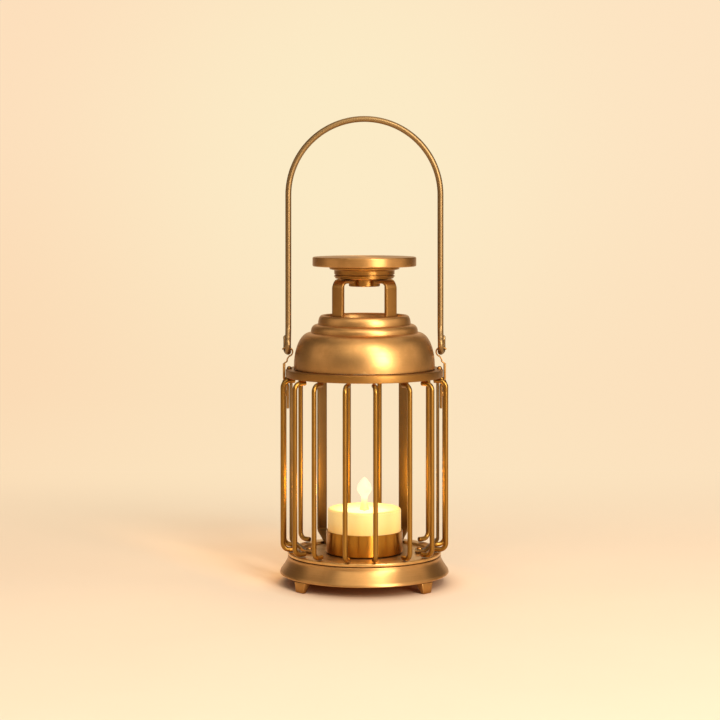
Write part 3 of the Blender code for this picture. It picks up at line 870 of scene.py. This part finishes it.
@dataclass
class Base:
    """The skirt, the feet and the tray."""

    shop: Workshop
    neck_radius: float = 39.9 * MM
    skirt_radius: float = 44.05 * MM
    skirt_bottom: float = 5.6 * MM
    flare: float = 1.25
    wall: float = 1.0 * MM
    tray_radius: float = 40.0 * MM
    foot_angles: tuple[tuple[str, float], ...] = (
        ("front_left", -49.0),
        ("front_right", 47.0),
        ("rear_left", -131.0),
        ("rear_right", 133.0),
    )
    foot_levels: tuple[tuple[float, ...], ...] = (  # height, outer face, depth, width in mm
        (0.0, 43.8, 1.9, 5.8),
        (5.5, 43.8, 4.8, 8.2),
        (5.5, 42.36, 3.6, 7.0),
        (9.5, 40.54, 3.6, 7.0),
    )

    def skirt(self) -> None:
        """The spun skirt, with its rolled lip."""
        wall, neck_radius, edge_radius = self.wall, self.neck_radius, self.skirt_radius
        span = edge_radius - neck_radius
        top, bottom = SKIRT_TOP - 1.4 * MM, self.skirt_bottom + 1.0 * MM
        shares = [i / 14 for i in range(15)]
        flare = [(neck_radius + span * s**self.flare, top + (bottom - top) * s) for s in shares]
        inner = [(radius - wall, height - 0.2 * MM) for radius, height in flare[::-1]]
        lip = [
            flare[-2],
            (edge_radius, self.skirt_bottom, 0.45 * MM),
            (edge_radius - wall, self.skirt_bottom, 0.3 * MM),
            inner[1],
        ]
        neck = [
            (RIM_RADIUS - wall, SKIRT_TOP),
            (neck_radius, SKIRT_TOP, 0.5 * MM),
            flare[0],
        ]
        ceiling = [(neck_radius - wall, SKIRT_TOP - wall), (RIM_RADIUS - wall, SKIRT_TOP - wall)]
        outline = soften(neck) + flare[1:-1] + soften(lip)[1:-1] + inner[1:] + ceiling
        self.shop.piece(
            "skirt_spun", turn(outline), "turned", Slot.BRASS, Body.CAGE, ["base_skirt"]
        )

    def feet(self) -> None:
        """Four cast feet that taper to their tips."""
        for corner, azimuth in self.foot_angles:
            places = []
            for height, face, depth, width in self.foot_levels:
                middle = Vector((face - depth / 2, 0, height)) * MM
                size = Matrix.Diagonal((depth * MM, width * MM, 1.0, 1.0))
                places.append(Matrix.Translation(middle) @ size)
            shape = loft(rectangle(1.0, 1.0), places)
            bmesh.ops.recalc_face_normals(shape, faces=shape.faces)
            bmesh.ops.bevel(
                shape,
                geom=shape.edges,
                offset=0.35 * MM,
                affect="EDGES",
                segments=4,
                profile=0.5,
                material=-1,
            )
            shape.transform(heading(azimuth))
            self.shop.piece(
                f"foot_cast_{corner}", shape, "cast", Slot.BRASS, Body.CAGE, [f"foot_{corner}"]
            )

    def tray(self) -> None:
        """The spun floor with its raised rim."""
        under = SKIRT_TOP + CLEARANCE
        corners = [
            (0.0, FLOOR_TOP),
            (RIM_RADIUS - 0.5 * MM, FLOOR_TOP, 0.5 * MM),
            (RIM_RADIUS + 0.2 * MM, TRAY_TOP, 0.5 * MM),
            (self.tray_radius, TRAY_TOP, 0.55 * MM),
            (self.tray_radius, under, 0.5 * MM),
            (RIM_RADIUS - 1.5 * MM, under, 0.2 * MM),
            (RIM_RADIUS - 2.0 * MM, FLOOR_TOP - 1.0 * MM, 0.2 * MM),
            (0.0, FLOOR_TOP - 1.0 * MM),
        ]
        outline = soften(corners)
        self.shop.piece("tray_spun", turn(outline), "tray", Slot.BRASS, Body.CAGE, ["tray"])


@dataclass
class Cage:
    """The bars, the flat uprights, the ring and the ears."""

    shop: Workshop
    cage_radius: float = 43.0 * MM
    bar_radius: float = 1.25 * MM
    bar_bend: float = 3.4 * MM
    bar_end: float = 36.6 * MM
    bar_angles: tuple[float, ...] = (
        *(-168.5, -127.5, -101, -79, -55.5, -36.2, -13),
        *(7.5, 32.2, 53.2, 79, 101, 127.5, 169),
    )
    strap_thickness: float = 1.5 * MM
    strap_width: float = 5.6 * MM
    upright_knee: float = 5.56 * MM
    upright_heel: float = 2.49 * MM
    upright_toe: float = 7.6 * MM
    upright_angles: tuple[tuple[str, float], ...] = (
        ("left", -90.0),
        ("right", 90.0),
        ("rear_left", -143.5),
        ("rear_right", 146.5),
    )
    ring_opening: float = 33.5 * MM
    ring_wall: float = 0.7 * MM
    ring_flange: float = 0.8 * MM
    ear_thickness: float = 1.2 * MM
    ear_width: float = 5.0 * MM
    ear_bottom: float = 90.9 * MM
    tongue_thickness: float = 0.7 * MM
    tongue_width: float = 2.0 * MM
    side_angles: tuple[tuple[str, float], ...] = (("left", -90.0), ("right", 90.0))
    strap_head: Point2 = (1.6 * MM, 1.1 * MM)  # radius and height, as is the next one
    flange_head: Point2 = (1.3 * MM, 1.5 * MM)
    foot_rivet_radius: float = 28.8 * MM
    flange_rivet_radius: float = 39.2 * MM
    ear_rivet_height: float = 98.6 * MM

    def bars(self) -> None:
        """Round bars, bent inwards at both ends."""
        radius, bend = self.bar_radius, self.bar_bend
        low, high = TRAY_TOP + CLEARANCE + radius, RING_BOTTOM - CLEARANCE - radius
        middle = self.cage_radius - bend
        lower = arc((middle, low + bend), bend, -90, 0, 12)
        upper = arc((middle, high - bend), bend, 0, 90, 12)
        rise = [(self.cage_radius, low + (high - low) * i / 8) for i in range(1, 8)]
        side = [(self.bar_end, low)] + lower + rise + upper + [(self.bar_end, high)]
        points = [Vector((across, 0, height)) for across, height in side]
        for number, azimuth in enumerate(self.bar_angles, 1):
            shape = wire(points, radius, 20)
            shape.transform(heading(azimuth))
            name = f"bar_{number:02d}"
            self.shop.piece(f"{name}_drawn", shape, "drawn", Slot.BRASS, Body.CAGE, [name])

    def uprights(self) -> None:
        """Flat straps that slope in to a riveted foot on the tray."""
        thick = self.strap_thickness
        mid = FLOOR_TOP + CLEARANCE + thick / 2
        corners = [
            (UPRIGHT_RADIUS, RING_TOP - self.ring_flange - CLEARANCE),
            (UPRIGHT_RADIUS, TRAY_TOP + self.upright_knee, 2.2 * MM),
            (RIM_RADIUS - self.upright_heel, mid, 2.0 * MM),
            (RIM_RADIUS - self.upright_toe, mid),
        ]
        path = soften(corners, 8)
        for number, (side, azimuth) in enumerate(self.upright_angles, 1):
            name = f"upright_{side}"
            shape = strap(path, thick, self.strap_width, azimuth)
            self.shop.piece(
                f"{name}_rolled", shape, "upright", Slot.DARK_BRASS, Body.CAGE, [name]
            )
            spot = self.spot(azimuth, self.foot_rivet_radius, mid + thick / 2)
            self.head(f"foot_rivet_{number}", rivet(self.strap_head), spot)

    @staticmethod
    def spot(azimuth: float, radius: float, height: float) -> Matrix:
        """Moves a piece to a radius and an angle from the front."""
        angle = math.radians(azimuth)
        return Matrix.Translation((radius * math.sin(angle), -radius * math.cos(angle), height))

    def head(self, name: str, shape: bmesh.types.BMesh, place: Matrix) -> None:
        """Sets a rivet head in its place."""
        shape.transform(place)
        self.shop.piece(f"{name}_head", shape, "cast", Slot.BRASS, Body.CAGE, [name])

    def ring(self) -> None:
        """The hoop with its flat flange, and the rivet heads on it."""
        inner, opening = RING_RADIUS - self.ring_wall, self.ring_opening
        under = RING_TOP - self.ring_flange
        corners = [
            (opening, RING_TOP, 0.2 * MM),
            (RING_RADIUS, RING_TOP, 0.5 * MM),
            (RING_RADIUS, RING_BOTTOM, 0.25 * MM),
            (inner, RING_BOTTOM, 0.2 * MM),
            (inner, under, 0.2 * MM),
            (opening, under, 0.2 * MM),
        ]
        outline = soften(corners, 4, True)
        self.shop.piece("ring_rolled", turn(outline), "ring", Slot.BRASS, Body.CAGE, ["top_ring"])
        for side, azimuth in self.side_angles:
            spot = self.spot(azimuth, self.flange_rivet_radius, RING_TOP)
            self.head(f"flange_rivet_{side}", rivet(self.flange_head), spot)

    def tongue(self, outer: float) -> list[Point2]:
        """The path of an ear's tongue: up in an S, then over the bail's eye.

        Args:
            outer: the radius of the ear's plate at the ring.

        Returns:
            (radius, height) of its points.
        """
        hook_radius = BAIL_WIRE + 0.35 * MM + self.tongue_thickness / 2
        eye_bottom = EYE_CENTRE - EYE_RADIUS
        hook = arc((BAIL_SPAN, eye_bottom), hook_radius, 258, 90, 20)
        hook += arc((BAIL_SPAN + EYE_DRIFT, eye_bottom), hook_radius, 90, 35, 8)
        elbow = BAIL_SPAN + 0.6 * MM
        neck = [
            (outer, RING_TOP),
            (outer, RING_TOP + 2.9 * MM, 0.7 * MM),
            (elbow, RING_TOP + 4.0 * MM, 0.8 * MM),
            (elbow, RING_TOP + 5.1 * MM, 0.8 * MM),
            hook[0],
        ]
        return soften(neck, 6)[:-1] + hook

    def ears(self) -> None:
        """Joggled straps, drawn out to a tongue that hooks through the bail's eye."""
        half = self.ear_thickness / 2
        outer = RING_RADIUS + CLEARANCE + half
        inner = UPRIGHT_RADIUS + self.strap_thickness / 2 + CLEARANCE + half
        corners = [
            (inner, self.ear_bottom),
            (inner, 102.6 * MM, 3 * MM),
            (outer, RING_BOTTOM - 1.0 * MM, 3 * MM),
            (outer, RING_TOP + 2.9 * MM),
        ]
        plate = soften(corners, 6)
        tongue = self.tongue(outer)
        for side, azimuth in self.side_angles:
            shape = strap(plate, self.ear_thickness, self.ear_width, azimuth)
            drawn = strap(tongue, self.tongue_thickness, self.tongue_width, azimuth, 0.2 * MM)
            carried = bpy.data.meshes.new("tongue")
            drawn.to_mesh(carried)
            drawn.free()
            shape.from_mesh(carried)
            bpy.data.meshes.remove(carried)
            name = f"ear_{side}"
            self.shop.piece(f"{name}_forged", shape, "strap", Slot.BRASS, Body.CAGE, [name])
            turned = Matrix.Rotation(math.radians(azimuth), 4, "Y")
            place = self.spot(azimuth, inner + half, self.ear_rivet_height) @ turned
            self.head(f"ear_rivet_{side}", rivet(self.strap_head), place)


@dataclass
class Lid:
    """The dome, the crown's straps, the stem and the disc."""

    shop: Workshop
    wall: float = 1.0 * MM
    dome_radius: float = 36.8 * MM
    bowl_radius: float = 28.1 * MM
    bowl_top: float = 130.4 * MM
    step_radius: float = 27.9 * MM
    step_top: float = 134.7 * MM
    collar_radius: float = 24.2 * MM
    strap_angles: tuple[float, ...] = (-45.0, 45.0, 135.0, -135.0)
    strap_foot: float = 132.5 * MM
    strap_radius: float = 19.3 * MM
    strap_thickness: float = 1.5 * MM
    strap_width: float = 7.5 * MM
    strap_bend: float = 3.4 * MM
    strap_end: float = 11.4 * MM
    stem_bottom: float = 158.2 * MM
    flange_radius: float = 18.4 * MM
    drum_radius: float = 15.8 * MM
    groove_radius: float = 15.3 * MM
    rib_rises: Point2 = (3.4 * MM, 2.0 * MM)
    boss_radius: float = 8.1 * MM
    boss_drop: float = 3.8 * MM
    disc_bottom: float = 164.9 * MM
    disc_radius: float = 27.1 * MM
    disc_thickness: float = 4.9 * MM

    def dome(self) -> None:
        """The spun shell, with two rolled steps and an open collar."""
        wall, bowl_top, step_top = self.wall, self.bowl_top, self.step_top
        lip_top = LID_REST + 1.2 * MM
        bowl = []
        for i in range(29):
            angle = math.radians(90 * (1 - i / 28))
            reach = self.dome_radius - self.bowl_radius
            across = self.bowl_radius + reach * max(math.cos(angle), 0) ** 0.95
            drop = (bowl_top - lip_top) * max(1 - math.sin(angle), 0) ** 1.02
            bowl.append((across, bowl_top - drop))
        foot = bowl_top + 0.8 * MM
        step = arc((self.step_radius - 3.2 * MM, foot), 3.2 * MM, 90, 0, 12, step_top - foot)
        collar = arc((self.collar_radius - 2.0 * MM, step_top), 2.0 * MM, 130, 0, 14, 4.7 * MM)
        valley = [(self.step_radius + 0.05 * MM, bowl_top + 0.15 * MM)]
        hollow = []
        for i, (radius, height) in enumerate(bowl):
            share = i / 28
            hollow.append((radius - wall * (1 - 0.25 * share), height - wall * 0.9 * (1 - share)))
        ceiling = step_top - 1.2 * wall
        inner = [
            (self.step_radius - 1.6 * MM, bowl_top + wall),
            (self.step_radius - 3.8 * MM, ceiling),
            (21.8 * MM, ceiling),
            (20.6 * MM, step_top),
        ]
        rim = [
            (self.dome_radius, LID_REST + 0.15 * MM),
            (self.dome_radius - 0.15 * MM, LID_REST),
            (self.dome_radius - wall, LID_REST),
        ]
        outline = collar + step + valley + bowl[1:] + rim + hollow[::-1][1:] + inner
        shape = turn(outline, 180)
        self.shop.piece("dome_spun", shape, "spun", Slot.BRASS, Body.LID, ["dome"], 30.0)

    def crown(self) -> None:
        """Four straps that rise through the collar and turn in under the stem."""
        bend, radius, foot = self.strap_bend, self.strap_radius, self.strap_foot
        top = self.stem_bottom - CLEARANCE - self.strap_thickness / 2
        turn_in = arc((radius - bend, top - bend), bend, 0, 90, 12)
        rise = [(radius, foot + (top - bend - foot) * i / 4) for i in range(4)]
        path = rise + turn_in + [(self.strap_end, top)]
        for number, azimuth in enumerate(self.strap_angles, 1):
            shape = strap(path, self.strap_thickness, self.strap_width, azimuth, 0.35 * MM)
            name = f"crown_strap_{number}"
            self.shop.piece(f"{name}_rolled", shape, "strap", Slot.DARK_BRASS, Body.LID, [name])

    def cap(self) -> None:
        """The turned stem with its flange, ribs and boss, and the disc."""
        low, seat = self.stem_bottom, self.disc_bottom - CLEARANCE
        flange, drum, groove = self.flange_radius, self.drum_radius, self.groove_radius
        corners: list[Corner] = [
            (0.0, seat),
            (flange, seat, 0.3 * MM),
            (flange - 0.2 * MM, seat - 1.2 * MM, 0.4 * MM),
            (drum, seat - 1.7 * MM, 0.4 * MM),
        ]
        for rise in self.rib_rises:
            rib = low + rise
            under = rib - 0.7 * MM
            corners += [
                (drum, rib, 0.2 * MM),
                (drum, under, 0.25 * MM),
                (groove, under - 0.2 * MM, 0.1 * MM),
                (groove, under - 0.5 * MM, 0.1 * MM),
            ]
        boss = low - self.boss_drop
        corners += [
            (groove, low + 0.5 * MM, 0.4 * MM),
            (13.4 * MM, low, 0.4 * MM),
            (self.boss_radius, low, 0.3 * MM),
            (self.boss_radius, boss, 0.5 * MM),
            (0.0, boss),
        ]
        stem = turn(soften(corners))
        self.shop.piece("stem_turned", stem, "cap", Slot.BRASS, Body.LID, ["cap_stem"])
        bottom, radius = self.disc_bottom, self.disc_radius
        top = bottom + self.disc_thickness
        disc = [(0.0, top), (radius, top, 0.7 * MM), (radius, bottom, 0.7 * MM), (0.0, bottom)]
        shape = turn(soften(disc, 7))
        self.shop.piece("disc_turned", shape, "disc", Slot.BRASS, Body.LID, ["cap_disc"])


@dataclass
class Bail:
    """The arched wire with an eye at each end."""

    shop: Workshop
    top: float = 243.3 * MM
    neck: float = 6.2 * MM
    eye_start: float = -133.0
    eye_flat: float = -20.0
    eye_tail: float = 50.0
    eye_end: float = 156.0

    def eye(self) -> list[Point3]:
        """The wound end of the right leg.

        Returns:
            Its points, from the leg round to the tip.
        """
        points = []
        for i in range(49):
            turned = self.eye_start + (self.eye_end - self.eye_start) * i / 48
            share = (turned - self.eye_flat) / (self.eye_tail - self.eye_flat)
            share = min(max(share, 0), 1)
            out = BAIL_SPAN + EYE_DRIFT * share * share * (3 - 2 * share)
            angle = math.radians(turned)
            depth, height = EYE_RADIUS * math.sin(angle), EYE_RADIUS * math.cos(angle)
            points.append((out, depth, EYE_CENTRE - height))
        return points

    def leg(self, joint: Point3, neck_top: float) -> list[Point3]:
        """The lower end of the right leg, which sways back to meet its eye.

        Args:
            joint: the first point of the eye.
            neck_top: the height at which the sway starts.

        Returns:
            Its points, downwards.
        """
        points = []
        for i in range(12):
            share = i / 12
            sway = 3 * share**2.6 - 2 * share**3.4 if share else 0.0
            height = neck_top + (joint[2] - neck_top) * share
            points.append((BAIL_SPAN, joint[1] * min(sway, 0.93), height))
        return points

    def handle(self) -> None:
        """One drawn wire from eye to eye."""
        neck_top = EYE_CENTRE + EYE_RADIUS + self.neck
        middle = self.top - BAIL_WIRE - BAIL_SPAN
        eye = self.eye()
        rise = [(BAIL_SPAN, 0.0, neck_top + (middle - neck_top) * i / 6) for i in range(1, 6)]
        right = rise[::-1] + self.leg(eye[0], neck_top) + eye
        left = [(-x, y, z) for x, y, z in right[::-1]]
        arch = [(x, 0.0, z) for x, z in arc((0, middle), BAIL_SPAN, 180, 0, 72)]
        shape = wire([Vector(point) for point in left + arch + right], BAIL_WIRE, 24)
        self.shop.piece("bail_wire", shape, "bail", Slot.BRASS, Body.BAIL, ["bail"])


@dataclass
class Candle:
    """The cup, the wax, the wick and the flame."""

    shop: Workshop
    cup_radius: float = 19.9 * MM
    cup_height: float = 11.5 * MM
    wax_radius: float = 19.1 * MM
    pool_depth: float = 1.4 * MM
    wick_radius: float = 0.55 * MM
    flame_outline: tuple[Corner, ...] = (  # radius, height and rounding in mm
        (0.0, 55.0),
        (1.2, 54.2, 1.2),
        (3.5, 51.0, 3.0),
        (4.0, 48.2, 2.5),
        (1.8, 44.8, 2.0),
        (1.5, 42.4, 1.5),
        (2.6, 37.9, 0.4),
        (0.0, 37.42),
    )

    def cup(self) -> None:
        """The low turned cup."""
        inner, outer = self.cup_radius - 0.5 * MM, self.cup_radius
        floor, top = CANDLE_REST + 0.5 * MM, CANDLE_REST + self.cup_height
        corners = [
            (0.0, floor),
            (inner, floor, 0.8 * MM),
            (inner, top, 0.15 * MM),
            (outer, top, 0.22 * MM),
            (outer, CANDLE_REST, 0.8 * MM),
            (0.0, CANDLE_REST),
        ]
        shape = turn(soften(corners))
        self.shop.piece("cup_spun", shape, "cup", Slot.BRASS, Body.CANDLE, ["candle_cup"])

    def wax(self) -> None:
        """The wax, with a soft brow round its molten pool."""
        radius, bottom, pool = self.wax_radius, CANDLE_REST + 0.8 * MM, WAX_TOP - self.pool_depth
        corners = [
            (0.0, pool),
            (radius - 6.0 * MM, pool, 4 * MM),
            (radius - 2.4 * MM, WAX_TOP, 1.2 * MM),
            (radius, WAX_TOP, 1.1 * MM),
            (radius, bottom, 1.2 * MM),
            (0.0, bottom),
        ]
        shape = turn(soften(corners, 8))
        self.shop.piece("wax_cast", shape, "wax", Slot.WAX, Body.CANDLE, ["candle_wax"], 60.0)

    def wick(self) -> None:
        """The curled, burnt wick."""
        foot, tip = WAX_TOP - 4.0 * MM, WAX_TOP + 3.8 * MM
        points = []
        for i in range(17):
            share = i / 16
            lean = 0.5 * MM * share**2.2
            points.append(Vector((lean, -0.3 * lean, foot + (tip - foot) * share)))
        shape = wire(points, self.wick_radius, 16)
        self.shop.piece("wick_burnt", shape, "wick", Slot.WICK, Body.CANDLE, ["candle_wick"])

    def flame(self) -> None:
        """A teardrop of light over the wick."""
        corners = [tuple(size * MM for size in corner) for corner in self.flame_outline]
        shape = turn(soften(corners, 8), 48)
        piece = self.shop.piece("flame_lit", shape, "flame", Slot.WAX, Body.CANDLE, (), 80.0)
        piece.visible_shadow = False


@dataclass(frozen=True)
class Panel:
    """A soft rectangular light that faces the lantern's middle."""

    name: str
    place: Point3
    size: Point2
    power: float
    tone: str

    def hang(self) -> None:
        """Puts the light in the studio."""
        light = bpy.data.lights.new(self.name, "AREA")
        light.shape = "RECTANGLE"
        light.size, light.size_y = self.size
        light.energy = self.power
        light.color = linear(self.tone)[:3]
        lamp = bpy.data.objects.new(self.name, light)
        lamp.location = self.place
        way = LANTERN_MIDDLE - Vector(self.place)
        lamp.rotation_euler = way.to_track_quat("-Z", "Y").to_euler()
        bpy.context.scene.collection.objects.link(lamp)


@dataclass
class Studio:
    """The floor, the backdrop, the lights and the camera."""

    paper: bpy.types.Material
    reach: float = 14.0
    wall_start: float = 0.9
    wall_bend: float = 0.9
    wall_top: float = 3.2
    panels: tuple[Panel, ...] = (
        Panel("key", (0.93, -1.5, 0.63), (0.72, 0.75), 28.0, "#FFF6E8"),
        Panel("high", (0.56, -1.26, 1.27), (0.30, 0.30), 8.5, "#FFF6E8"),
        Panel("front", (-0.15, -1.25, 1.25), (1.9, 0.8), 10.5, "#FFF2E0"),
        Panel("left", (-1.5, -0.35, 0.75), (1.2, 1.0), 3.0, "#FFE8D0"),
        Panel("right", (1.5, -0.2, 0.75), (1.2, 1.0), 3.6, "#FFE8D0"),
        Panel("top", (0.1, 0.1, 1.7), (1.8, 1.8), 10.5, "#FFF0DE"),
    )
    glow_power: float = 0.052
    glow_height: float = 48 * MM
    glow_radius: float = 3.5 * MM
    sky_strength: float = 0.10
    lens: float = 99.15
    shift: Point2 = (-0.0061, -0.229)
    eye: Point3 = (0, -1.035, 0.202)

    def sweep(self) -> None:
        """Seamless paper that runs along the floor and up behind the lantern."""
        shape = bmesh.new()
        bend = self.wall_bend
        curve = arc((self.wall_start, bend), bend, -90, 0, 24)
        side = [(-self.reach, 0.0), *curve, (self.wall_start + bend, self.wall_top)]
        verts = [shape.verts.new((-self.reach, y, z)) for y, z in side]
        edges = [shape.edges.new(pair) for pair in zip(verts, verts[1:])]
        wide = bmesh.ops.extrude_edge_only(shape, edges=edges)["geom"]
        moved = [item for item in wide if isinstance(item, bmesh.types.BMVert)]
        bmesh.ops.translate(shape, vec=(2 * self.reach, 0, 0), verts=moved)
        floor = to_object("studio_paper", shape)
        floor.data.materials.append(self.paper)

    def lights(self) -> None:
        """A key from the front right, a broad fill, and the candle's own glow."""
        for panel in self.panels:
            panel.hang()
        glow = bpy.data.lights.new("candle_glow", "POINT")
        glow.energy = self.glow_power
        glow.color = linear("#FFCA58")[:3]
        glow.shadow_soft_size = self.glow_radius
        lamp = bpy.data.objects.new("candle_glow", glow)
        lamp.location = (0, 0, self.glow_height)
        bpy.context.scene.collection.objects.link(lamp)
        world = bpy.data.worlds.new("studio")
        bpy.context.scene.world = world
        world.use_nodes = True
        back = world.node_tree.nodes["Background"]
        back.inputs["Color"].default_value = linear("#FBE7CF")
        back.inputs["Strength"].default_value = self.sky_strength

    def camera(self) -> None:
        """A level camera at the photograph's distance and height, shifted to its framing."""
        data = bpy.data.cameras.new("camera")
        data.sensor_width = 36
        data.lens = self.lens
        data.shift_x, data.shift_y = self.shift
        data.clip_start = 0.01
        obj = bpy.data.objects.new("camera", data)
        obj.location = self.eye
        obj.rotation_euler = (math.radians(90), 0, 0)
        bpy.context.scene.collection.objects.link(obj)
        bpy.context.scene.camera = obj


def finishes() -> dict[str, bpy.types.Material]:
    """All materials.

    Returns:
        The materials, by the key that the pieces use.
    """
    smooth = {"pits": 0.0, "wear": 0.0, "relief": 0.0}
    plain = {**smooth, "grime_and_shade_reach": 0.0}
    turned, drawn, cast = Grain.TURNED, Grain.DRAWN, Grain.CAST
    bright = {"body": "#C48A35", "roughness": 0.29, "patina": 0.1, "lines": 0.05, "stretch": 0.85}
    wire_brown = {"deep": "#6E4618", "body": "#9E7434", "roughness": 0.33, "patina": 0.15}
    bail_brown = {"deep": "#7A6142", "body": "#957850", "roughness": 0.42, "patina": 0.2}
    brasses = {
        "turned": Brass(turned, roughness=0.40, patina=0.15, stretch=0.6),
        "disc": Brass(turned, deep="#8A5E2C", roughness=0.41, stretch=0.7),
        "spun": Brass(turned, roughness=0.38, lines=0.08),
        "tray": Brass(turned, body="#E6B874", roughness=0.34, patina=0.4, stretch=0.5),
        "cup": Brass(turned, **bright, **smooth),
        "drawn": Brass(drawn, lines=0.03, **wire_brown, **plain),
        "bail": Brass(drawn, lines=0.02, **bail_brown, **plain),
        "ring": Brass(turned, body="#A2753C", roughness=0.42, stretch=0.3),
        "cap": Brass(turned, body="#AC7C3E", roughness=0.34, stretch=0.8),
        "strap": Brass(drawn, deep="#875C2A", body="#B8884A", roughness=0.38),
        "upright": Brass(drawn, deep="#543A1C", body="#7A5A30", roughness=0.40),
        # The cast feet's grime and painted shade reach far, and darken them under the skirt.
        "cast": Brass(cast, body="#C08C4A", roughness=0.36, patina=0.4, grime_and_shade_reach=6.0),
    }
    made = {key: brass.make(f"brass_{key}") for key, brass in brasses.items()}
    made["wax"] = Wax().make()
    made["wick"] = Wick().make()
    made["flame"] = Flame().make()
    return made


def main() -> None:
    """Builds the whole scene."""
    logging.basicConfig(level=logging.INFO, format="%(name)s: %(message)s")
    bpy.context.scene.view_settings.view_transform = "Standard"
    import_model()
    shop = Workshop(finishes())
    base = Base(shop)
    base.skirt()
    base.feet()
    base.tray()
    cage = Cage(shop)
    cage.bars()
    cage.uprights()
    cage.ring()
    cage.ears()
    lid = Lid(shop)
    lid.dome()
    lid.crown()
    lid.cap()
    bail = Bail(shop)
    bail.handle()
    candle = Candle(shop)
    candle.cup()
    candle.wax()
    candle.wick()
    candle.flame()
    studio = Studio(Paper().make())
    studio.sweep()
    studio.lights()
    studio.camera()
    LOG.info("%d pieces made", shop.made)


if __name__ == "__main__":
    main()
